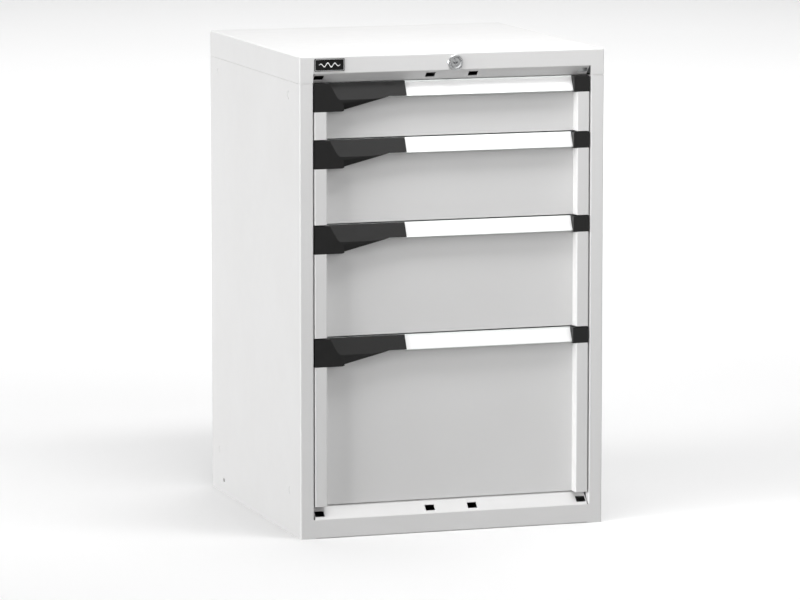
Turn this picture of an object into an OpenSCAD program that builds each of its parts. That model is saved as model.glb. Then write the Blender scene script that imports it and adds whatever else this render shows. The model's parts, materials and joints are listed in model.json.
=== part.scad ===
// Sheet-steel drawer cabinet with four full-extension drawers and a central lock.
// Frame: X to the right, Y to the back, Z up, origin at the middle of the footprint on the floor.

/* [Cabinet] */
// Overall width of the cabinet
body_w = 564; // [480:1:760]
// Depth of the cabinet, from its front face to its back face
body_d = 572; // [480:1:760]
// Front heights of the drawers, from the top one down
drawer_h = [100, 150, 200, 300]; // [90:5:400]
// Height of the top rail
rail_h = 47; // [45:1:80]
// Height of the bottom sill
sill_h = 56; // [50:1:100]
// Depth and height of the top rail's 45 degree inward bend
rail_slope = 17; // [14:1:18]
// Depth and height of the sill's 45 degree inward bend
sill_slope = 22; // [16:1:24]
// Thickness of the shell's sheet
sheet_t = 1.5; // [1:0.1:2]
// Inside radius of the shell's bends
bend_r = 1; // [0.6:0.1:2]
// Width of the upright flange at each side of the opening
upright_w = 25; // [23:1:40]
// Depth of the upright's return lip
lip_d = 15; // [8:1:15]
// Gap seen between the top cover and the panels below it
seam = 1; // [0.4:0.1:2]
// Width of the back panel's fixing flange on each side panel
back_flange_w = 26; // [20:1:40]

/* [Rail slots and badge] */
// Width of each accessory slot in the sloping flanges
slot_w = 17.5; // [8:0.5:24]
// Height of each accessory slot, along the slope
slot_len = 12.7; // [6:0.1:14]
// Distance from the middle of the rail to each middle slot
slot_mid_x = 39.5; // [20:0.5:60]
// Width of the blank badge plate
badge_w = 55; // [20:1:80]
// Height of the blank badge plate
badge_h = 22; // [10:1:30]

/* [Drawer front] */
// Gap all round each drawer front
front_gap = 2; // [1:0.5:4]
// Thickness of the drawer's sheet
drawer_t = 1.2; // [0.8:0.1:1.5]
// Width of the flush stile at each end of a front
stile_w = 23; // [18:1:30]
// Depth of the recess between the stiles
recess_d = 19; // [17:0.5:24]
// Depth of the front's return flanges
return_d = 34; // [30:1:35]

/* [Handle] */
// Height of the inclined handle face
handle_h = 25; // [20:1:32]
// How far the top edge of the handle face stands back from the front
handle_set = 14.5; // [12:0.5:16]
// Angle of the handle face from the vertical
handle_tilt = 26.5; // [18:0.5:30]
// How far the label's face lies below the black grip's face
label_drop = 2.3; // [1:0.1:3]
// Thickness of the aluminium handle profile
profile_t = 1.8; // [1:0.1:2.5]
// Thickness of the label strip
label_t = 0.9; // [0.4:0.1:1.2]
// Length of the left grip
grip_w = 170; // [140:1:200]
// Height of the left grip's flat end
grip_h = 49.5; // [46:0.5:56]
// Wall of the plastic grip and cap
grip_t = 2.1; // [1.5:0.1:2.2]
// Length of the right cap
cap_w = 29; // [24:1:40]
// Height of the right cap
cap_h = 28; // [24:0.5:34]

/* [Drawer slides] */
// Room for the slides at each side, from the side panel's inner face to the tray
side_space = 49.8; // [49.8:0.1:60]
// Room behind the tray of a closed drawer, up to the back face
rear_space = 90.4; // [90:0.1:160]
// Radius of the slide rollers
roller_r = 11; // [9:0.5:11.5]
// Width of a slide roller
roller_w = 9; // [7:0.5:9.5]
// Thickness of the slide channels
channel_t = 1.5; // [1:0.1:2]
// Thickness of the carriage strip between the channels
strip_t = 2; // [1.5:0.1:2.5]
// Height of the carriage strip
strip_h = 16; // [12:1:18]
// Rolling clearance under a loaded roller
roll_clear = 0.05; // [0.02:0.01:0.1]
// Clearance on the unloaded side of a roller
idle_clear = 0.35; // [0.2:0.05:0.6]
// Radius of the roller axles
axle_r = 2.5; // [2:0.1:3.5]
// Radial clearance of a turning fit
fit_clear = 0.05; // [0.02:0.01:0.09]
// Pitch of the windows in the rail posts
window_pitch = 25; // [20:1:30]
// Width of a rail post, front to back
post_d = 24; // [20:1:26]

/* [Lock] */
// Radius of the lock's ring
lock_ring_r = 14; // [12:0.5:15]
// Radius of the lock's barrel
barrel_r = 10; // [10:0.1:10.5]
// Radius of the turning plug
plug_r = 8.5; // [7.5:0.1:8.5]
// Width of the lock bar
lock_bar_w = 12; // [8:1:12]
// Tooth module of the lock's pinion and rack
gear_m = 1; // [1:0.1:1]
// Teeth on the lock's pinion, which turns a quarter turn
pinion_teeth = 16; // [14:1:18]

/* [Fixings] */
// Radius of the four floor bolt holes
floor_hole_r = 5.5; // [4:0.5:7]
// Distance from the front and back faces to the floor bolt holes
floor_hole_in = 60; // [40:1:100]
// Radius of the side joining holes
join_hole_r = 4; // [2.5:0.5:5]
// Height of the side joining holes
join_hole_z = 23.5; // [12:0.5:35]
// Distance from the back face to the side joining holes
join_hole_in = 80; // [60:1:120]
// Radius of the round plugs in the side panels
side_plug_r = 7; // [5:0.5:8]
// How far the lock ring and the back screws stand proud of the shell
proud = 2; // [1:0.1:3]

/* [Hidden] */
$fn = 48;
count = len(drawer_h);
DRAWER_PARTS = ["tray", "front", "handle", "label", "left_grip", "right_cap", "catch", "carriage",
                "front_rollers", "middle_rollers", "rear_rollers"];

// Overall frame
function total(i) = i < 0 ? 0 : drawer_h[i] + total(i - 1);
body_h = rail_h + sill_h + total(count - 1);
half_w = body_w / 2;
yf = -body_d / 2;
yb = body_d / 2;
z_rail = body_h - rail_h;
sill_face = sill_h - sill_slope;
inner_x = half_w - sheet_t;
open_x = half_w - upright_w;
flange_x = open_x - 2.5;
joggle_in = 10;
bend_out = bend_r + sheet_t;
sill_slot_drop = 2;
// Lowest and highest point of the space behind each front
function z_lo(i) = z_rail - total(i);
function z_hi(i) = z_rail - total(i - 1);
function front_top(i) = z_hi(i) - front_gap / 2;
function front_bottom(i) = z_lo(i) + front_gap / 2;

// Drawer front and handle
front_x = open_x - front_gap;
stile_x = front_x - stile_w;
recess_y = yf + recess_d;
tray_y = recess_y + drawer_t;
grip_x = -front_x + grip_w;
cap_x = front_x - cap_w;
profile_x = -stile_x + 2;
front_edge_drop = 3;
label_rim = 1.5;

// Tray, whose clear depth is also the drawer's travel
tray_in_w = 2 * (inner_x - side_space - drawer_t);
tray_in_d = body_d - recess_d - 3 * drawer_t - rear_space;
tray_x = tray_in_w / 2 + drawer_t;
tray_d = tray_in_d + 2 * drawer_t;
tray_lift = 6;
tray_drop = 22;
hem_h = 8;
divider_pitch = 17;
divider_slot = [2, 14];

// Slides
travel = tray_in_d;
post_t = sheet_t;
post_w = 20;
post_x = inner_x - post_w;
rail_y = yf + 36;
end_stop_t = 1.5;
stop_clear = 0.5;
rail_len = travel + 2 * (roller_r + end_stop_t + stop_clear);
strip_x = (tray_x + post_x) / 2;
lip_gap = 3.2;
roller_gap = 2.2;
hub_r = 4.2;
strip_end = 12;
strip_y0 = rail_y + 40;
strip_y1 = rail_y + rail_len - 40;
front_axle_y = strip_y0 + strip_end;
middle_axle_y = rail_y + rail_len / 2;
rear_axle_y = strip_y1 - strip_end;
post_front_y = yf + 31;
post_back_y = yb - 90;
hook = [3, 7];
window = [hook[0] + 1, hook[1] + 2];
function window_z(k) = sill_h + window_pitch / 2 + k * window_pitch;
function axle_z(i) = window_z(round((z_lo(i) - sill_h) / window_pitch) + 1);

// Lock
lock_x = 4;
lock_z = body_h - 17.5;
rack_y = yf + 26.5;
rack_t = 3;
bar_y = yf + 22;
bar_t = 3;
pitch_r = gear_m * pinion_teeth / 2;
lift = pitch_r * PI / 2;
rack_pitch_z = lock_z - pitch_r;
rack_top = rack_pitch_z - 1.25 * gear_m;
rack_h = 6.75;
bar_x = inner_x - 17.5;
cam_x = bar_x - 23;
cam_z = z_rail + 8;
cam_pin_r = 2.5;
lug_h = 8;
lug_clear = 1.5;
function lug_z(i) = z_lo(i) + 20;
guide_x = [60, 180];

// Catch lever
catch_x = -front_x + 15;
catch_y = yf + 8;
catch_pin_r = 2;
catch_top = 31;
catch_t = 5.5;
rib_t = 2;

paint = [0.86, 0.86, 0.85];
paint_drawer = [0.80, 0.80, 0.79];
zinc = [0.70, 0.71, 0.72];
black = [0.13, 0.13, 0.13];
nylon = [0.90, 0.90, 0.88];

// A block given by its lowest and highest X, Y and Z
module block(x, y, z) {
    translate([x[0], y[0], z[0]])
        cube([x[1] - x[0], y[1] - y[0], z[1] - z[0]]);
}

module both_sides() {
    children();
    mirror([1, 0, 0]) children();
}

// A cylinder along Y from y[0] to y[1]
module rod_y(r, y, x = 0, z = 0) {
    translate([x, y[0], z])
        rotate([-90, 0, 0]) cylinder(r = r, h = y[1] - y[0]);
}

// A cylinder along X from x[0] to x[1]
module rod_x(r, x, y = 0, z = 0) {
    translate([x[0], y, z])
        rotate([0, 90, 0]) cylinder(r = r, h = x[1] - x[0]);
}

// Extrudes a Y-Z outline along X
module along_x(x) {
    translate([x[0], 0, 0])
        rotate([90, 0, 90]) linear_extrude(x[1] - x[0]) children();
}

// Extrudes an X-Z outline along Y
module along_y(y) {
    translate([0, y[1], 0])
        rotate([90, 0, 0]) linear_extrude(y[1] - y[0]) children();
}

// Bent sheet: a path is the sheet's right-hand surface, and the metal lies on the path's left
function heading(a, b) = atan2(b[1] - a[1], b[0] - a[0]);
function turn(a, b) = (b - a + 540) % 360 - 180;
function bend_arc(p, a, b, off, t, r) =
    let (k = turn(a, b), s = sign(k), ref = s > 0 ? r + t : r, far = ref * tan(abs(k) / 2),
         c = p - far * [cos(a), sin(a)] + s * ref * [-sin(a), cos(a)], arc = ref - s * off)
    [for (j = [0:5]) let (w = a + k * j / 5) c + s * arc * [sin(w), -cos(w)]];
function sheet_edge(p, off, t, r) =
    let (n = len(p), h = [for (j = [0:n - 2]) heading(p[j], p[j + 1])])
    concat([p[0] + off * [-sin(h[0]), cos(h[0])]],
           [for (j = [1:n - 2]) each bend_arc(p[j], h[j - 1], h[j], off, t, r)],
           [p[n - 1] + off * [-sin(h[n - 2]), cos(h[n - 2])]]);
function backwards(p) = [for (j = [len(p) - 1:-1:0]) p[j]];
module bent(path, t, r) {
    polygon(concat(sheet_edge(path, 0, t, r), backwards(sheet_edge(path, t, t, r))));
}

// Accessory slots through a sloping flange. The middle of the slots is at y and z, and the flange leans
// up (1) or down (-1) to the back
module rail_slots(y, z, lean) {
    end_x = flange_x - 1 - slot_w / 2;
    for (x = [-end_x, -slot_mid_x, slot_mid_x, end_x])
        translate([x, y, z])
            rotate([-45 * lean, 0, 0]) cube([slot_w, 4 * sheet_t, slot_len], center = true);
}

module side_plug_places() {
    for (y = [yf + 65, yb - 55])
        for (z = [sill_h + 22, z_rail - 25])
            translate([0, y, z]) children();
}

module back_screw_places() {
    inset = back_flange_w - 8;
    steps = 4;
    for (side = [-1, 1])
        for (k = [0:steps])
            translate([side * (half_w - inset), 0, sill_h + 30 + k * (z_rail - sill_h - 50) / steps])
                children();
}

// Left side panel: skin, upright with its return lip, back flange and the joggle under the cover
module side_panel() {
    path = [[-half_w + back_flange_w, yb], [-half_w, yb], [-half_w, yf], [-open_x, yf],
            [-open_x, yf + lip_d]];
    joggle_z = [z_rail - joggle_in, z_rail + 25];
    difference() {
        union() {
            linear_extrude(z_rail - seam / 2) bent(path, sheet_t, bend_r);
            block([-inner_x, -inner_x + sheet_t], [yf + 4, yb - 5], joggle_z);
            block([-inner_x + 1, -open_x - sheet_t], [yf + sheet_t, yf + 2 * sheet_t], joggle_z);
        }
        // The sill's ends are let in flush here
        block([-open_x - bend_out, -open_x + 1], [yf - 1, yf + lip_d + 1], [-1, sill_face]);
        side_plug_places() rod_x(side_plug_r, [-half_w - 1, -inner_x + 1]);
        rod_x(join_hole_r, [-half_w - 1, -inner_x + 1], yb - join_hole_in, join_hole_z);
        back_screw_places() rod_y(2.1, [yb - sheet_t - 1, yb + 1]);
    }
}

module left_side_panel() {
    color(paint) side_panel();
}

module right_side_panel() {
    color(paint) mirror([1, 0, 0]) side_panel();
}

module back_panel() {
    edge_x = inner_x - 1;
    color(paint)
    difference() {
        block([-edge_x, edge_x], [yb - 2 * sheet_t, yb - sheet_t], [sill_h, body_h - 5]);
        back_screw_places() rod_y(2.1, [yb - 2 * sheet_t - 1, yb]);
    }
}

// Raised base: sill, sloping flange, floor plate, back wall, side walls and floor flanges
module base() {
    back_y = yb - sheet_t;
    foot_w = 36;
    wall_x = inner_x - bend_r;
    plan_y = [yf + sill_slope + 2, back_y - bend_r];
    sill = [[yf + 20, 0], [yf, 0], [yf, sill_face], [yf + sill_slope, sill_h], [yf + 60, sill_h]];
    color(paint)
    difference() {
        union() {
            along_x([-flange_x, flange_x])
                mirror([1, 0]) bent([for (p = sill) [-p[0], p[1]]], sheet_t, bend_r);
            both_sides()
                block([flange_x, open_x + bend_out], [yf, yf + sheet_t], [0, sill_face]);
            block([-inner_x, inner_x], plan_y, [sill_h - sheet_t, sill_h]);
            block([-wall_x, wall_x], [back_y - sheet_t, back_y], [0, sill_h]);
            both_sides() {
                block([inner_x - sheet_t, inner_x], plan_y, [0, sill_h]);
                block([inner_x - foot_w, inner_x], plan_y, [0, sheet_t]);
            }
        }
        rail_slots(yf + sill_slope / 2 - sill_slot_drop, sill_face + sill_slope / 2 - sill_slot_drop, 1);
        for (x = [-1, 1])
            for (y = [yf + floor_hole_in, yb - floor_hole_in])
                translate([x * (inner_x - foot_w / 2), y, -1])
                    cylinder(r = floor_hole_r, h = sheet_t + 2);
        both_sides()
            rod_x(join_hole_r, [inner_x - sheet_t - 1, inner_x + 1], yb - join_hole_in, join_hole_z);
    }
}

// Top cover: top plate with four skirts, and the front rail's sloping flange
module top_cover() {
    r_out = bend_r + sheet_t;
    skirt_z = z_rail + seam / 2;
    slope_z = z_rail + rail_slope;
    front = [[yf + rail_slope, z_rail], [yf, slope_z], [yf, body_h], [yf + 40, body_h]];
    color(paint)
    difference() {
        union() {
            along_x([-flange_x, flange_x])
                mirror([1, 0]) bent([for (p = front) [-p[0], p[1]]], sheet_t, bend_r);
            for (x = [[-half_w + r_out, -open_x], [open_x, half_w - r_out]])
                along_x(x)
                    mirror([1, 0])
                        bent([[-yf, skirt_z], [-yf, body_h], [-yf - 40, body_h]], sheet_t, bend_r);
            both_sides()
                along_x([flange_x, open_x])
                    mirror([1, 0])
                        bent([[-yf, slope_z], [-yf, body_h], [-yf - 40, body_h]], sheet_t, bend_r);
            along_x([-half_w + r_out, half_w - r_out])
                bent([[yb, skirt_z], [yb, body_h], [yb - 40, body_h]], sheet_t, bend_r);
            along_y([yf + r_out, yb - r_out])
                bent([[half_w, skirt_z], [half_w, body_h], [-half_w, body_h], [-half_w, skirt_z]],
                     sheet_t, bend_r);
            for (x = [-1, 1])
                for (y = [-1, 1])
                    translate([x * (half_w - r_out), y * (body_d / 2 - r_out), skirt_z])
                        corner_post(x, y, body_h - r_out - skirt_z, r_out);
        }
        rail_slots(yf + rail_slope / 2, z_rail + rail_slope / 2, -1);
        rod_y(barrel_r + 0.1, [yf - 1, yf + sheet_t + 1], lock_x, lock_z);
    }
}

// Quarter tube that closes a vertical corner of the cover, pointing to +X or -X and +Y or -Y
module corner_post(x, y, h, r_out) {
    intersection() {
        difference() {
            cylinder(r = r_out, h = h);
            translate([0, 0, -1]) cylinder(r = bend_r, h = h + 2);
        }
        block([min(0, x * r_out), max(0, x * r_out)], [min(0, y * r_out), max(0, y * r_out)],
              [0, h]);
    }
}

// Four perforated posts that carry the slide rails
module rail_posts() {
    windows = floor((z_rail - sill_h) / window_pitch) - 1;
    color(zinc)
    for (y = [post_front_y, post_back_y])
        both_sides()
            difference() {
                block([post_x, inner_x], [y, y + post_d], [sill_h, z_rail - joggle_in - 2]);
                block([post_x + post_t, inner_x + 1], [y + post_t, y + post_d - post_t],
                      [sill_h - 1, z_rail]);
                for (k = [0:windows])
                    block([post_x - 1, post_x + post_t + 1],
                          [y + post_d / 2 - window[0] / 2, y + post_d / 2 + window[0] / 2],
                          [window_z(k) - window[1] / 2, window_z(k) + window[1] / 2]);
            }
}

// One slide channel at the right, its web at web_x and its lips pointing to tip_x
module channel(web_x, tip_x, z, below, above) {
    s = sign(tip_x - web_x);
    inside = web_x + s * channel_t;
    outer = [z - below - channel_t, z + above + channel_t];
    ends = [rail_y, rail_y + rail_len - end_stop_t];
    block([min(web_x, inside), max(web_x, inside)], [rail_y, rail_y + rail_len], outer);
    for (lip_z = [outer[0], z + above])
        block([min(web_x, tip_x), max(web_x, tip_x)], [rail_y, rail_y + rail_len],
              [lip_z, lip_z + channel_t]);
    for (y = ends)
        block([min(web_x, tip_x), max(web_x, tip_x)], [y, y + end_stop_t], outer);
}

// The cabinet's half of each slide, hooked into the posts
module cabinet_rails() {
    color(zinc)
    both_sides()
        for (i = [0:count - 1]) {
            channel(post_x, strip_x + lip_gap, axle_z(i), roller_r + roll_clear,
                    roller_r + idle_clear);
            for (y = [post_front_y, post_back_y])
                block([post_x, post_x + 2.5],
                      [y + post_d / 2 - hook[0] / 2, y + post_d / 2 + hook[0] / 2],
                      [axle_z(i) - hook[1] / 2, axle_z(i) + hook[1] / 2]);
        }
}

module back_screws() {
    color(zinc)
    back_screw_places() {
        rod_y(4.5, [yb, yb + proud]);
        rod_y(2.05, [yb - 6, yb]);
    }
}

// Plugs that close the spare fixing holes of the side panels
module side_plugs() {
    color(paint)
    both_sides()
        side_plug_places() {
            rod_x(side_plug_r - 0.1, [inner_x, half_w - 0.5]);
            rod_x(side_plug_r + 2, [inner_x - 1.5, inner_x]);
        }
}

module badge_plate() {
    r = 1.5;
    x = [-front_x, -front_x + badge_w];
    z = [body_h - 4 - badge_h, body_h - 4];
    y = [yf - 1.2, yf];
    color(black) {
        block([x[0] + r, x[1] - r], y, z);
        block(x, y, [z[0] + r, z[1] - r]);
        for (cx = [x[0] + r, x[1] - r])
            for (cz = [z[0] + r, z[1] - r])
                rod_y(r, y, cx, cz);
    }
}

module lock_barrel() {
    bevel = 0.8;
    color(zinc)
    translate([lock_x, yf, lock_z])
        rotate([-90, 0, 0])
            rotate_extrude()
                polygon([[plug_r + fit_clear, -proud + 0.3], [barrel_r, -proud],
                         [lock_ring_r - bevel, -proud], [lock_ring_r, -proud + bevel],
                         [lock_ring_r, 0], [barrel_r, 0], [barrel_r, 25], [plug_r + fit_clear, 25]]);
}

module lock_nut() {
    flats = 2 * barrel_r + 3;
    color(zinc)
    translate([lock_x, yf + sheet_t, lock_z])
        rotate([-90, 0, 0])
            difference() {
                cylinder(d = flats / cos(30), h = 5, $fn = 6);
                translate([0, 0, -1]) cylinder(r = barrel_r + 0.02, h = 7);
            }
}

// Involute pinion outline
base_r = pitch_r * cos(20);
tip_r = pitch_r + gear_m;
root_r = pitch_r - 1.25 * gear_m;
backlash = 0.16;
function inv(a) = tan(a) - a * PI / 180;
function roll(r) = acos(min(1, base_r / r));
half_tooth = 90 / pinion_teeth - backlash / pitch_r * 90 / PI + inv(20) * 180 / PI;
function flank(r) = half_tooth - inv(roll(r)) * 180 / PI;
flank_steps = [for (j = [0:6]) base_r + (tip_r - base_r) * j / 6];
function polar(r, a) = r * [cos(a), sin(a)];
module pinion_outline() {
    step = 360 / pinion_teeth;
    polygon([for (k = [0:pinion_teeth - 1])
        each concat([polar(root_r, k * step - flank(base_r))],
                    [for (r = flank_steps) polar(r, k * step - flank(r))],
                    [for (r = backwards(flank_steps)) polar(r, k * step + flank(r))],
                    [polar(root_r, k * step + flank(base_r))])]);
}

// Turning plug with its key slot, and the pinion on its tail; a tooth space points down at rest
module lock_plug() {
    key = [8, 3, 14];
    tail_y = [yf + 25.2, rack_y + rack_t + 1];
    color(zinc) {
        difference() {
            rod_y(plug_r, [yf - proud + 0.4, tail_y[0]], lock_x, lock_z);
            block([lock_x - key[0] / 2, lock_x + key[0] / 2], [yf - proud, yf + key[2]],
                  [lock_z - key[1] / 2, lock_z + key[1] / 2]);
        }
        rod_y(5, [tail_y[0] - 1, tail_y[1]], lock_x, lock_z);
        translate([lock_x, rack_y - 0.5, lock_z])
            rotate([-90, 0, 0])
                rotate(90 + 180 / pinion_teeth)
                    linear_extrude(rack_t + 1) pinion_outline();
    }
}

// Rack that the pinion pushes to the left, with the inclined cam slot at its right end
module lock_rack() {
    pitch = PI * gear_m;
    half = pitch / 4 - backlash / 2;
    tooth = [gear_m, 1.25 * gear_m];
    lean = tan(20);
    teeth = 5;
    plate_z = [z_rail + 2, cam_z + lift + cam_pin_r + 3];
    color(zinc)
    difference() {
        union() {
            block([lock_x - 22, cam_x], [rack_y, rack_y + rack_t], [rack_top - rack_h, rack_top]);
            block([cam_x - 9, cam_x + lift + 10], [rack_y, rack_y + rack_t], plate_z);
            along_y([rack_y, rack_y + rack_t])
                for (k = [-teeth:teeth + 4])
                    translate([lock_x + k * pitch, rack_pitch_z])
                        polygon([[-half - lean * tooth[1], -tooth[1] - 0.1],
                                 [half + lean * tooth[1], -tooth[1] - 0.1],
                                 [half - lean * tooth[0] * 0.9, tooth[0] * 0.9],
                                 [-half + lean * tooth[0] * 0.9, tooth[0] * 0.9]]);
        }
        translate([cam_x, rack_y - 1, cam_z])
            rotate([0, -45, 0]) {
                slot_r = cam_pin_r + fit_clear;
                block([0, lift * sqrt(2)], [0, rack_t + 2], [-slot_r, slot_r]);
                rod_y(slot_r, [0, rack_t + 2]);
                rod_y(slot_r, [0, rack_t + 2], lift * sqrt(2));
            }
    }
}

// Vertical bar with a cam pin and one lug for each drawer
module lock_bar() {
    y = [bar_y, bar_y + bar_t];
    color(zinc) {
        block([bar_x, bar_x + lock_bar_w], y, [lug_z(count - 1) - 10, cam_z + 6]);
        block([cam_x - 6, bar_x + 1], y, [cam_z - 6, cam_z + 6]);
        rod_y(cam_pin_r, [bar_y, rack_y + rack_t + 1.5], cam_x, cam_z);
        for (i = [0:count - 1])
            block([front_x - 5, bar_x + 1], y, [lug_z(i), lug_z(i) + lug_h]);
    }
}

// Guides of the vertical bar on the side panel, and of the rack under the top cover
module lock_guides() {
    gap = 0.4;
    guide_h = 16;
    color(zinc) {
        for (i = [1, count - 1])
            translate([0, 0, z_hi(i) - 35])
                difference() {
                    block([bar_x - 3.4, inner_x], [bar_y - 4, bar_y + bar_t + 4], [0, guide_h]);
                    block([bar_x - gap, bar_x + lock_bar_w + gap],
                          [bar_y - gap, bar_y + bar_t + gap], [-1, guide_h + 1]);
                }
        for (x = guide_x)
            difference() {
                block([x, x + 10], [rack_y - 3, rack_y + rack_t + 3],
                      [rack_top - rack_h - 4, body_h - sheet_t]);
                block([x - 1, x + 11], [rack_y - gap, rack_y + rack_t + gap],
                      [rack_top - rack_h - gap, rack_top + gap]);
            }
    }
}

// Drawer tray with hemmed rims, divider slots and its welded slide channels
module tray(i) {
    z0 = z_lo(i) + tray_lift;
    z1 = z_hi(i) - tray_drop;
    y1 = tray_y + tray_d;
    slots = floor(tray_in_d / divider_pitch) - 1;
    slot_y = tray_y + (tray_d - (slots - 1) * divider_pitch) / 2;
    slot_z = z1 - hem_h - 2 - divider_slot[1];
    color(paint_drawer)
    difference() {
        union() {
            difference() {
                block([-tray_x, tray_x], [tray_y, y1], [z0, z1]);
                block([-tray_x + drawer_t, tray_x - drawer_t], [tray_y + drawer_t, y1 - drawer_t],
                      [z0 + drawer_t, z1 + 1]);
            }
            block([-tray_x, tray_x], [y1, y1 + drawer_t], [z1 - hem_h, z1]);
            both_sides() {
                block([tray_x, tray_x + drawer_t], [tray_y, y1 + drawer_t], [z1 - hem_h, z1]);
                channel(tray_x, strip_x - lip_gap, axle_z(i), roller_r + idle_clear,
                        roller_r + roll_clear);
            }
        }
        for (k = [0:slots - 1])
            block([-tray_x - 1, tray_x + 1],
                  [slot_y + k * divider_pitch - divider_slot[0] / 2,
                   slot_y + k * divider_pitch + divider_slot[0] / 2],
                  [slot_z, slot_z + divider_slot[1]]);
    }
}

// Drawer front: flush stiles, recessed middle, return flanges, lock notch and catch window
module front(i) {
    top = front_top(i);
    path = [[-front_x, yf + return_d], [-front_x, yf], [-stile_x, yf], [-stile_x, recess_y],
            [stile_x, recess_y], [stile_x, yf], [front_x, yf], [front_x, yf + return_d]];
    catch_z = top - catch_top;
    lug = [bar_y - 1, bar_y + bar_t + 1];
    color(paint_drawer)
    difference() {
        translate([0, 0, front_bottom(i)])
            linear_extrude(top - front_edge_drop - front_bottom(i)) bent(path, drawer_t, bend_r);
        block([-front_x - 1, -stile_x + 3], [yf - 1, yf + 18.5], [top - grip_h, top]);
        block([stile_x - 3, front_x + 1], [yf - 1, yf + 15], [top - cap_h, top]);
        block([-front_x - 1, -front_x + drawer_t + 1], [yf, yf + 30],
              [catch_z - catch_t - 2, catch_z + 2]);
        block([front_x - drawer_t - 1, front_x + 1], [lug[0], yf + return_d + 1],
              [lug_z(i) - lug_clear, lug_z(i) + lug_h + lug_clear]);
        block([front_x - drawer_t - 1, front_x + 1], lug,
              [lug_z(i) - lug_clear, lug_z(i) + lug_h + lift + lug_clear]);
    }
}

// Handle coordinates: u runs down the inclined face from its top edge, v points out of it
function on_face(i, u, v) =
    [yf + handle_set - u * sin(handle_tilt) - v * cos(handle_tilt),
     front_top(i) - u * cos(handle_tilt) + v * sin(handle_tilt)];
face_len = handle_h / cos(handle_tilt);
label_v = -label_drop;
plate_v = [label_v - label_t - profile_t, label_v - label_t];

// Aluminium profile with its label channel and the flange that hooks over the front
module handle(i) {
    top = front_top(i);
    rim_v = label_v + 0.15;
    low_u = face_len - 0.4;
    flange_t = 1.6;
    hook_h = 14;
    corner_u = (flange_t + plate_v[0] * sin(handle_tilt)) / cos(handle_tilt);
    face = [[rim_v * tan(handle_tilt), rim_v], [label_rim, rim_v], [label_rim, plate_v[1]],
            [low_u - label_rim, plate_v[1]], [low_u - label_rim, rim_v], [low_u, rim_v],
            [low_u, plate_v[0]], [corner_u, plate_v[0]]];
    color([0.82, 0.84, 0.83])
    along_x([profile_x, cap_x])
        polygon(concat([for (p = face) on_face(i, p[0], p[1])],
                       [[tray_y, top - flange_t], [tray_y, top - hook_h],
                        [tray_y + drawer_t, top - hook_h], [tray_y + drawer_t, top]]));
}

module label(i) {
    gap = 0.1;
    u = [label_rim + gap, face_len - 0.4 - label_rim - gap];
    back_v = plate_v[1] + 0.02;
    outline = [[u[0], back_v], [u[1], back_v], [u[1], label_v], [u[0], label_v]];
    color("white")
    along_x([grip_x + 0.2, cap_x - 0.2])
        polygon([for (p = outline) on_face(i, p[0], p[1])]);
}

// Left grip: flat end flush with the front, inclined face, and a facet under it
flat_top = 28;
flat_mid = [42, 25];
flat_low = [53, 34.5];
taper_x = 138;
facet_fall = 51;
module left_grip(i) {
    top = front_top(i);
    x0 = -front_x;
    back = yf + 16;
    behind = yf + 22;
    pocket_top = top - 1.8;
    color(black)
    difference() {
        union() {
            difference() {
                along_y([yf, back])
                    polygon([[x0, top], [grip_x, top], [grip_x, top - handle_h],
                             [x0 + taper_x, top - handle_h], [x0 + 50, top - grip_h],
                             [x0, top - grip_h]]);
                grip_face_cut(i);
                grip_facet_cut(i);
                block([x0 + 2.4, -stile_x + 2.5], [yf + 2.4, back + 1],
                      [top - grip_h + 2.4, pocket_top]);
                along_x([-stile_x + 2, x0 + flat_low[0] - 4.5])
                    polygon([on_face(i, -5, -grip_t), on_face(i, 0, -grip_t),
                             [yf + 2.4, top - handle_set * 2], [yf + 2.4, top - grip_h - 1],
                             [behind, top - grip_h - 1], [behind, top + 4]]);
                along_x([x0 + flat_low[0] - 5, grip_x + 1])
                    polygon([on_face(i, -5, -grip_t), on_face(i, face_len + 1.2, -grip_t),
                             [behind, top - handle_h - 1.4], [behind, top + 4]]);
                block([x0 - 1, x0 + 3], [yf + 13, back + 1], [top - grip_h - 1, top + 1]);
            }
            for (z = [top - catch_top + 0.5, top - catch_top - catch_t - 0.5 - rib_t])
                block([x0 + 1, catch_x + 6], [yf + 1, yf + 13], [z, z + rib_t]);
        }
        translate([catch_x, catch_y, top - grip_h + 1])
            cylinder(r = catch_pin_r + fit_clear, h = grip_h - 5);
    }
}

// What is cut away in front of the inclined face, right of the grip's flat end
module grip_face_cut(i) {
    top = front_top(i);
    x0 = -front_x;
    intersection() {
        along_x([x0, grip_x + 1])
            polygon([on_face(i, -3, 0), on_face(i, 60, 0), on_face(i, 60, 40),
                     on_face(i, -3, 40)]);
        along_y([yf - 40, yf + 40])
            polygon([[x0 + flat_top - 1.2, top + 2], [x0 + flat_mid[0], top - flat_mid[1]],
                     [x0 + flat_low[0], top - flat_low[1]], [grip_x + 1, top - flat_low[1]],
                     [grip_x + 1, top + 2]]);
    }
}

// What is cut away below the inclined face, to leave the facet that faces down
module grip_facet_cut(i) {
    run = [taper_x - flat_low[0], flat_low[1] - handle_h - 0.5];
    translate([-front_x + flat_low[0], yf, front_top(i) - flat_low[1]])
        rotate([0, -atan2(run[1], run[0]), 0])
            rotate([-facet_fall, 0, 0])
                translate([0, -60, -60]) cube([200, 120, 60]);
}

module right_cap(i) {
    top = front_top(i);
    color(black)
    difference() {
        block([cap_x, front_x], [yf, yf + 14.5], [top - cap_h, top]);
        block([cap_x + 2.4, front_x - 2.4], [yf + 2.4, yf + 15], [top - cap_h + 2.4, top - 2.4]);
        translate([cap_x - 1, yf, top])
            rotate([45, 0, 0]) cube([cap_w + 2, 2, 2], center = false);
    }
}

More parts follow.
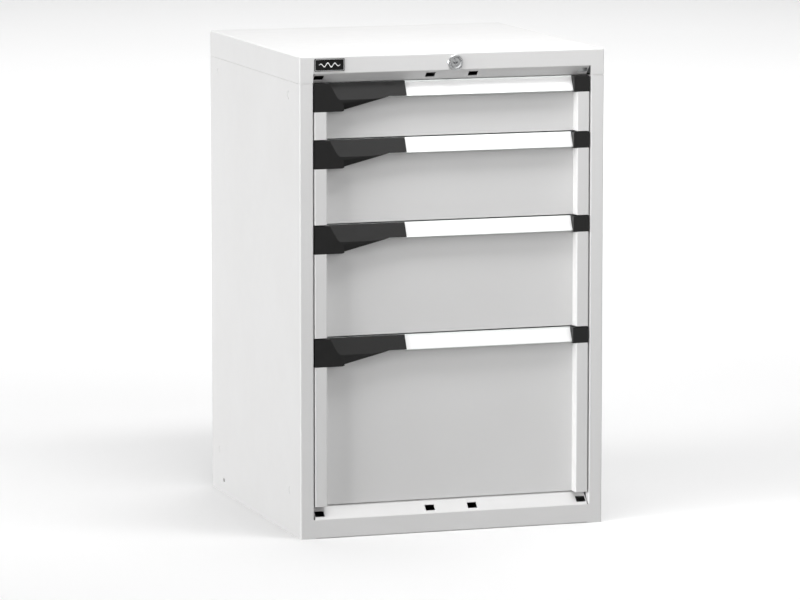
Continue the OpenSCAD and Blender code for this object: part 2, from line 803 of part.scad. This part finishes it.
// Catch lever: its nose swings behind the left upright's lip, and fingers pull its plate forward
module catch_lever(i) {
    z1 = front_top(i) - catch_top;
    z0 = z1 - catch_t;
    color(black) {
        translate([catch_x, catch_y, z0]) cylinder(r = 4.5, h = catch_t);
        translate([catch_x, catch_y, z0 - rib_t - 1])
            cylinder(r = catch_pin_r, h = catch_t + 2 * rib_t + 2);
        block([catch_x - 4, catch_x + 1.5], [catch_y, yf + 26], [z0, z1]);
        block([-front_x - 0.4, catch_x + 1.5], [yf + 22, yf + 26], [z0, z1]);
        block([catch_x, catch_x + 28], [yf + 5, yf + 8], [z0, z1]);
        block([catch_x + 14, catch_x + 28], [yf + 5, yf + 7.5], [front_top(i) - grip_h + 3, z1]);
    }
}

// Carriage: the two strips that run between the channels and hold the rollers
module carriage(i) {
    color(zinc)
    both_sides()
        difference() {
            block([strip_x - strip_t / 2, strip_x + strip_t / 2], [strip_y0, strip_y1],
                  [axle_z(i) - strip_h / 2, axle_z(i) + strip_h / 2]);
            for (y = [front_axle_y, middle_axle_y, rear_axle_y])
                rod_x(axle_r + fit_clear, [strip_x - strip_t, strip_x + strip_t], y, axle_z(i));
        }
}

// Rollers of one axle line, on the drawer's side of the strip, the cabinet's side, or both
module rollers(i, y, drawer_side, cabinet_side) {
    face = strip_t / 2 + fit_clear;
    head = 1.4;
    color(nylon)
    both_sides() {
        rod_x(axle_r, [strip_x - face - 0.5, strip_x + face + 0.5], y, axle_z(i));
        for (s = [-1, 1]) {
            used = s < 0 ? drawer_side : cabinet_side;
            reach = used ? roller_gap + roller_w : face + head;
            rod_x(hub_r, [strip_x + min(s * face, s * reach), strip_x + max(s * face, s * reach)],
                  y, axle_z(i));
            if (used)
                rod_x(roller_r, [strip_x + min(s * roller_gap, s * reach),
                                 strip_x + max(s * roller_gap, s * reach)], y, axle_z(i));
        }
    }
}

left_side_panel();
right_side_panel();
back_panel();
base();
top_cover();
rail_posts();
cabinet_rails();
back_screws();
side_plugs();
badge_plate();
lock_barrel();
lock_nut();
lock_guides();
lock_plug();
lock_rack();
lock_bar();
for (n = [1:count]) {
    drawer = str("drawer_", n, "_");
    i = n - 1;
    tray(i);
    front(i);
    handle(i);
    label(i);
    left_grip(i);
    right_cap(i);
    catch_lever(i);
    carriage(i);
    rollers(i, front_axle_y, true, false);
    rollers(i, middle_axle_y, true, true);
    rollers(i, rear_axle_y, false, true);
}
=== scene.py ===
"""A sheet-steel drawer cabinet: finishes, small fittings, floor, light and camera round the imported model."""

import json
import math

import bmesh
import bpy
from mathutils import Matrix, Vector


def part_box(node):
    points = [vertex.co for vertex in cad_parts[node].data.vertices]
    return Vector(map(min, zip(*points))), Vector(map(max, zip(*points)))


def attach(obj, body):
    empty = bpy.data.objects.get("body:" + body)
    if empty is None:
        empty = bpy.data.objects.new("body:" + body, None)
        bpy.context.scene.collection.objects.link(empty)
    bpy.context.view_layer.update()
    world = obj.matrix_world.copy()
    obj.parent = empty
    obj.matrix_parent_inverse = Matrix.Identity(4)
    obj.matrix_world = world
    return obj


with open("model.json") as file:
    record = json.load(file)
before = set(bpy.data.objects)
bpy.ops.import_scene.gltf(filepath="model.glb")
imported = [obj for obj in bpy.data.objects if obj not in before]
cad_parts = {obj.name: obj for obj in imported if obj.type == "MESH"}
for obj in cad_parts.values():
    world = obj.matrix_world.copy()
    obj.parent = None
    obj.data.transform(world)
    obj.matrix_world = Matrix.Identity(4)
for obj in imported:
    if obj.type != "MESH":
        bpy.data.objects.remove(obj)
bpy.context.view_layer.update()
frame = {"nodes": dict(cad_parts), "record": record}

# Share of the light that the floor throws back up at the cabinet
FLOOR_BOUNCE = 0.3
# Thickness of the printed line and stroke on the badge, in metres
PRINT_T = 0.00008


# ---------------------------------------------------------------- node helpers


class Finish:
    """A material with one Principled shader, and short calls for the nodes that feed it."""

    def __init__(self, name, **sockets):
        self.material = bpy.data.materials.new(name)
        self.material.use_nodes = True
        self.nodes = self.material.node_tree.nodes
        self.links = self.material.node_tree.links
        self.shader = self.nodes["Principled BSDF"]
        for socket, value in sockets.items():
            self.shader.inputs[socket.replace("_", " ")].default_value = value
        self.place = self.nodes.new("ShaderNodeTexCoord").outputs["Object"]

    def node(self, kind, inputs=(), **settings):
        """One node. Inputs are (socket, value or output) pairs."""
        made = self.nodes.new(kind)
        for name, value in settings.items():
            setattr(made, name, value)
        for socket, value in inputs:
            if isinstance(value, bpy.types.NodeSocket):
                self.links.new(value, made.inputs[socket])
            else:
                made.inputs[socket].default_value = value
        return made

    def stretched(self, x, y, z):
        """The object's own coordinates, scaled along each axis."""
        return self.node("ShaderNodeMapping", [("Vector", self.place), ("Scale", (x, y, z))]).outputs[0]

    def noise(self, scale, detail=2.0, roughness=0.5, place=None):
        inputs = [
            ("Vector", place or self.place), ("Scale", scale), ("Detail", detail), ("Roughness", roughness),
        ]
        return self.node("ShaderNodeTexNoise", inputs).outputs["Fac"]

    def spread(self, value, low, high, start=0.3, end=0.7):
        """A number from low to high as value goes from start to end."""
        inputs = [("Value", value), ("From Min", start), ("From Max", end), ("To Min", low), ("To Max", high)]
        return self.node("ShaderNodeMapRange", inputs).outputs["Result"]

    def blend(self, factor, first, second):
        """A colour between two colours."""
        mix = self.node("ShaderNodeMix", data_type="RGBA")
        for socket, value in ((0, factor), (6, first), (7, second)):
            if isinstance(value, bpy.types.NodeSocket):
                self.links.new(value, mix.inputs[socket])
            else:
                mix.inputs[socket].default_value = value
        return mix.outputs[2]

    def bump(self, height, strength, distance, under=None):
        inputs = [("Height", height), ("Strength", strength), ("Distance", distance)]
        if under is not None:
            inputs.append(("Normal", under))
        return self.node("ShaderNodeBump", inputs).outputs["Normal"]

    def set(self, socket, output):
        self.links.new(output, self.shader.inputs[socket])


def grey(value, warmth=0.0):
    """A nearly neutral colour; warmth moves it towards yellow."""
    return (value * (1 + warmth), value, value * (1 - warmth), 1.0)


# ---------------------------------------------------------------- finishes


def powder_coat(name, shade):
    """Fine orange-peel powder coat over sheet that is a little uneven."""
    coat = Finish(name, Roughness=0.48)
    cloud = coat.noise(7.0, 3.0)
    speck = coat.noise(1400.0, 1.0)
    tone = coat.blend(coat.spread(cloud, 0.0, 1.0), grey(shade * 0.985, 0.004), grey(shade * 1.01, 0.002))
    coat.set("Base Color", coat.blend(coat.spread(speck, 0.0, 0.5, 0.62, 0.75), tone, grey(shade * 0.93)))
    coat.set("Roughness", coat.spread(coat.noise(35.0, 2.0), 0.43, 0.53))
    sheet = coat.bump(coat.noise(9.0, 1.0), 0.12, 0.002)
    coat.set("Normal", coat.bump(coat.noise(750.0, 2.0), 0.25, 0.00012, sheet))
    return coat.material


def moulded_plastic(name, shade, roughness, grain=2200.0):
    """Black plastic with a fine spark-eroded grain."""
    plastic = Finish(name, Roughness=roughness, Specular_IOR_Level=0.3)
    pores = plastic.noise(grain, 3.0, 0.6)
    deep, worn = grey(shade * 0.85, 0.02), grey(shade * 1.2, 0.02)
    plastic.set("Base Color", plastic.blend(plastic.spread(pores, 0.0, 1.0), deep, worn))
    plastic.set("Roughness", plastic.spread(plastic.noise(60.0), roughness - 0.05, roughness + 0.06))
    plastic.set("Normal", plastic.bump(pores, 0.3, 0.00008))
    return plastic.material


def zinc_plate(name):
    """Bright zinc on rolled steel: a fine rolling grain and cloudy passivation."""
    zinc = Finish(name, Metallic=1.0, Roughness=0.35)
    cloud = zinc.noise(28.0, 4.0, 0.6)
    dull, bright = (0.56, 0.58, 0.6, 1), (0.7, 0.71, 0.7, 1)
    zinc.set("Base Color", zinc.blend(zinc.spread(cloud, 0.0, 1.0), dull, bright))
    rolling = zinc.noise(90.0, 3.0, 0.6, zinc.stretched(1.0, 0.06, 1.0))
    zinc.set("Roughness", zinc.spread(rolling, 0.28, 0.45))
    zinc.set("Normal", zinc.bump(rolling, 0.15, 0.0001))
    return zinc.material


def anodised_extrusion(name):
    """Matt anodised aluminium with die lines along the profile."""
    alu = Finish(name, Metallic=0.9, Roughness=0.38)
    die_lines = alu.noise(1500.0, 2.0, 0.5, alu.stretched(0.003, 1.0, 1.0))
    dull, bright = (0.74, 0.77, 0.76, 1), (0.84, 0.86, 0.85, 1)
    alu.set("Base Color", alu.blend(alu.spread(die_lines, 0.0, 1.0), dull, bright))
    alu.set("Roughness", alu.spread(die_lines, 0.32, 0.44))
    alu.set("Normal", alu.bump(die_lines, 0.2, 0.00005))
    return alu.material


def label_card(name):
    """Smooth white label strip."""
    card = Finish(name, Roughness=0.35)
    fibre = card.noise(900.0, 3.0, 0.6)
    card.set("Base Color", card.blend(card.spread(fibre, 0.0, 1.0), grey(0.93), grey(0.955)))
    card.set("Roughness", card.spread(fibre, 0.3, 0.4))
    card.set("Normal", card.bump(fibre, 0.08, 0.00005))
    return card.material


def satin_nickel(name):
    """Nickel plating with the turning marks of the lathe."""
    nickel = Finish(name, Metallic=1.0, Roughness=0.3)
    turning = nickel.noise(1600.0, 2.0)
    dull, bright = (0.55, 0.56, 0.57, 1), (0.68, 0.69, 0.69, 1)
    nickel.set("Base Color", nickel.blend(nickel.spread(turning, 0.0, 1.0), dull, bright))
    nickel.set("Roughness", nickel.spread(nickel.noise(240.0), 0.22, 0.36))
    nickel.set("Normal", nickel.bump(turning, 0.12, 0.00004))
    return nickel.material


def roller_nylon(name):
    """Off-white nylon, slightly translucent and scuffed where it rolls."""
    nylon = Finish(name, Roughness=0.4)
    nylon.shader.inputs["Subsurface Weight"].default_value = 0.15
    nylon.shader.inputs["Subsurface Radius"].default_value = (0.002, 0.002, 0.002)
    scuff = nylon.noise(300.0, 3.0)
    nylon.set("Base Color", nylon.blend(nylon.spread(scuff, 0.0, 1.0), grey(0.74, 0.03), grey(0.82, 0.02)))
    nylon.set("Roughness", nylon.spread(scuff, 0.35, 0.5))
    return nylon.material


finishes = {
    "shell_paint": powder_coat("shell_paint", 0.72),
    "drawer_paint": powder_coat("drawer_paint", 0.70),
    "zinc_steel": zinc_plate("zinc_steel"),
    "aluminium_profile": anodised_extrusion("aluminium_profile"),
    "label_white": label_card("label_white"),
    "black_plastic": moulded_plastic("black_plastic", 0.01, 0.36),
    "badge_black": moulded_plastic("badge_black", 0.004, 0.25, 500.0),
    "lock_metal": satin_nickel("lock_metal"),
    "roller_nylon": roller_nylon("roller_nylon"),
}
for part in frame["record"]["subparts"]:
    for material_slot in frame["nodes"][part["node"]].material_slots:
        material_slot.material = finishes[part["material_slot"]]


# ---------------------------------------------------------------- small fittings


def finish_piece(name, shape, finish, body):
    """Turns a finished bmesh into a named piece with its finish, riding on a body."""
    mesh = bpy.data.meshes.new(name)
    shape.to_mesh(mesh)
    shape.free()
    mesh.materials.append(finishes[finish])
    piece = bpy.data.objects.new(name, mesh)
    bpy.context.scene.collection.objects.link(piece)
    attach(piece, body)


def frame_plate(name, outline, hole, y, thickness, finish, body):
    """A thin plate in the XZ plane between an outline and a hole of as many points."""
    shape = bmesh.new()
    rings = []
    for loop in (outline, hole):
        for depth in (y, y - thickness):
            rings.append([shape.verts.new((x, depth, z)) for x, z in loop])
    count = len(outline)
    for a, b in ((0, 1), (1, 3), (3, 2), (2, 0)):
        for i in range(count):
            j = (i + 1) % count
            shape.faces.new((rings[a][i], rings[a][j], rings[b][j], rings[b][i]))
    bmesh.ops.recalc_face_normals(shape, faces=shape.faces)
    finish_piece(name, shape, finish, body)


def strip(name, upper, lower, y, thickness, finish, body):
    """A thin stroke in the XZ plane between two edges."""
    outline = upper + lower[::-1]
    shape = bmesh.new()
    front = [shape.verts.new((x, y - thickness, z)) for x, z in outline]
    back = [shape.verts.new((x, y, z)) for x, z in outline]
    count, last = len(outline), len(upper) - 1
    for i in range(count):
        j = (i + 1) % count
        shape.faces.new((front[i], front[j], back[j], back[i]))
    for side in (front, back):
        for i in range(last):
            shape.faces.new((side[i], side[i + 1], side[count - 2 - i], side[count - 1 - i]))
    bmesh.ops.recalc_face_normals(shape, faces=shape.faces)
    finish_piece(name, shape, finish, body)


def rounded_rectangle(low, high, inset, radius, steps=6):
    """Points round the front of a box, in the XZ plane, moved in by inset."""
    x0, x1, z0, z1 = low[0] + inset, high[0] - inset, low[2] + inset, high[2] - inset
    corners = ((x1 - radius, z1 - radius, 0), (x0 + radius, z1 - radius, 90),
               (x0 + radius, z0 + radius, 180), (x1 - radius, z0 + radius, 270))
    return [
        (x + radius * math.cos(math.radians(start + 90 * i / steps)),
         z + radius * math.sin(math.radians(start + 90 * i / steps)))
        for x, z, start in corners for i in range(steps + 1)
    ]


def badge_border():
    """Thin printed line round the badge plate."""
    low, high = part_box("badge_plate")
    outer = rounded_rectangle(low, high, 0.0011, 0.0009)
    inner = rounded_rectangle(low, high, 0.0015, 0.0006)
    frame_plate("badge_border", outer, inner, low[1], PRINT_T, "label_white", "cabinet")


def badge_wave():
    """Plain wavy stroke in place of a mark."""
    low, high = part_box("badge_plate")
    middle = (low[2] + high[2]) / 2
    steps, margin, swing, waves = 48, 0.008, 0.0038, 3
    end_half, extra_half = 0.0003, 0.0008
    upper, lower = [], []
    for i in range(steps + 1):
        along = i / steps
        x = low[0] + margin + along * (high[0] - low[0] - 2 * margin)
        fade = math.cos(0.8 * (along - 0.5) * math.pi)
        z = middle + swing * math.sin(along * 2 * waves * math.pi) * fade
        half = end_half + extra_half * math.sin(along * math.pi) ** 0.5
        upper.append((x, z + half))
        lower.append((x, z - half))
    strip("badge_wave", upper, lower, low[1], PRINT_T, "label_white", "cabinet")


# ---------------------------------------------------------------- floor, light and camera


def floor():
    """A plain white floor that reaches past the picture's edges. It throws little light back up,
    so that the undersides of the handles stay dark."""
    reach = 60.0
    mesh = bpy.data.meshes.new("floor")
    shape = bmesh.new()
    bmesh.ops.create_grid(shape, x_segments=8, y_segments=8, size=reach)
    shape.to_mesh(mesh)
    shape.free()
    plane = bpy.data.objects.new("floor", mesh)
    bpy.context.scene.collection.objects.link(plane)
    white = Finish("floor_white", Roughness=0.85, Specular_IOR_Level=0.1)
    white.set("Base Color", white.blend(white.noise(0.8), grey(0.93), grey(0.95)))
    dim = white.node("ShaderNodeBsdfDiffuse", [("Color", grey(FLOOR_BOUNCE))])
    seen = white.node("ShaderNodeLightPath").outputs["Is Camera Ray"]
    both = white.node(
        "ShaderNodeMixShader", [(0, seen), (1, dim.outputs[0]), (2, white.shader.outputs[0])]
    )
    white.links.new(both.outputs[0], white.nodes["Material Output"].inputs["Surface"])
    mesh.materials.append(white.material)


def studio_world(sky, horizon):
    """Faint even light, brighter from above. The camera sees plain white behind the floor."""
    world = bpy.data.worlds.new("studio")
    bpy.context.scene.world = world
    world.use_nodes = True
    nodes, links = world.node_tree.nodes, world.node_tree.links
    light = nodes["Background"]
    height = nodes.new("ShaderNodeSeparateXYZ")
    links.new(nodes.new("ShaderNodeTexCoord").outputs["Generated"], height.inputs[0])
    rise = nodes.new("ShaderNodeMapRange")
    links.new(height.outputs["Z"], rise.inputs["Value"])
    rise.inputs["To Min"].default_value = horizon
    rise.inputs["To Max"].default_value = sky
    links.new(rise.outputs["Result"], light.inputs["Strength"])
    light.inputs["Color"].default_value = (1, 1, 1, 1)
    white = nodes.new("ShaderNodeBackground")
    white.inputs["Color"].default_value = (1, 1, 1, 1)
    white.inputs["Strength"].default_value = 1.0
    mix = nodes.new("ShaderNodeMixShader")
    links.new(nodes.new("ShaderNodeLightPath").outputs["Is Camera Ray"], mix.inputs["Fac"])
    links.new(light.outputs[0], mix.inputs[1])
    links.new(white.outputs[0], mix.inputs[2])
    links.new(mix.outputs[0], nodes["World Output"].inputs["Surface"])


def aim(holder, target):
    holder.rotation_euler = (Vector(target) - holder.location).to_track_quat("-Z", "Y").to_euler()


def sun(name, towards, level, spread):
    """A very soft distant light from the direction towards. Level is the light on a face that looks at it."""
    data = bpy.data.lights.new(name, "SUN")
    data.energy = level * math.pi
    data.angle = math.radians(spread)
    lamp = bpy.data.objects.new(name, data)
    bpy.context.scene.collection.objects.link(lamp)
    lamp.location = Vector(towards).normalized() * 5
    aim(lamp, (0, 0, 0))


def panel_light(name, location, target, width, height, power):
    """A rectangular soft box, in metres and watts."""
    data = bpy.data.lights.new(name, "AREA")
    data.shape = "RECTANGLE"
    data.size, data.size_y = width, height
    data.energy = power
    lamp = bpy.data.objects.new(name, data)
    bpy.context.scene.collection.objects.link(lamp)
    lamp.location = location
    aim(lamp, target)


def camera():
    """A long lens from the front left, a little above the cabinet."""
    azimuth, elevation, distance = math.radians(-17.91), math.radians(8.04), 9.08
    target = Vector((-0.0058, 0, 0.3765))
    back = Vector((
        math.sin(azimuth) * math.cos(elevation),
        -math.cos(azimuth) * math.cos(elevation),
        math.sin(elevation),
    ))
    data = bpy.data.cameras.new("camera")
    data.lens, data.sensor_width = 224.3, 36.0
    holder = bpy.data.objects.new("camera", data)
    bpy.context.scene.collection.objects.link(holder)
    holder.location = target + back * distance
    aim(holder, target)
    bpy.context.scene.camera = holder


badge_border()
badge_wave()

floor()
studio_world(sky=0.06, horizon=0.0)
sun("key", (0.35, 0.25, 0.9), 0.22, 40)
sun("right_front", (0.75, -0.45, 0.5), 0.15, 50)
sun("front_low", (0.0, -1.0, 0.1), 0.31, 40)
sun("left_low", (-0.97, -0.2, 0.1), 1.2, 25)
panel_light("top_front", (0.0, -0.8, 2.3), (0, -0.29, 0.4), 1.6, 0.4, 25)
panel_light("handle_glint", (0.9, -2.1, 2.6), (0, -0.29, 0.5), 1.6, 0.6, 8)
panel_light("right_upright", (0.75, -1.1, 0.35), (0.3, -0.28, 0.4), 0.3, 0.9, 0.6)
panel_light("left_back", (-1.1, 0.75, 0.3), (-0.28, 0.25, 0.45), 0.5, 0.9, 1.2)
panel_light("backdrop_near", (1.2, 3.6, 3.0), (1.2, 3.8, 0), 7, 3, 90)
panel_light("backdrop_far", (2.2, 8.0, 4.0), (2.2, 8.0, 0), 9, 9, 220)
camera()
bpy.context.scene.view_settings.view_transform = "Standard"
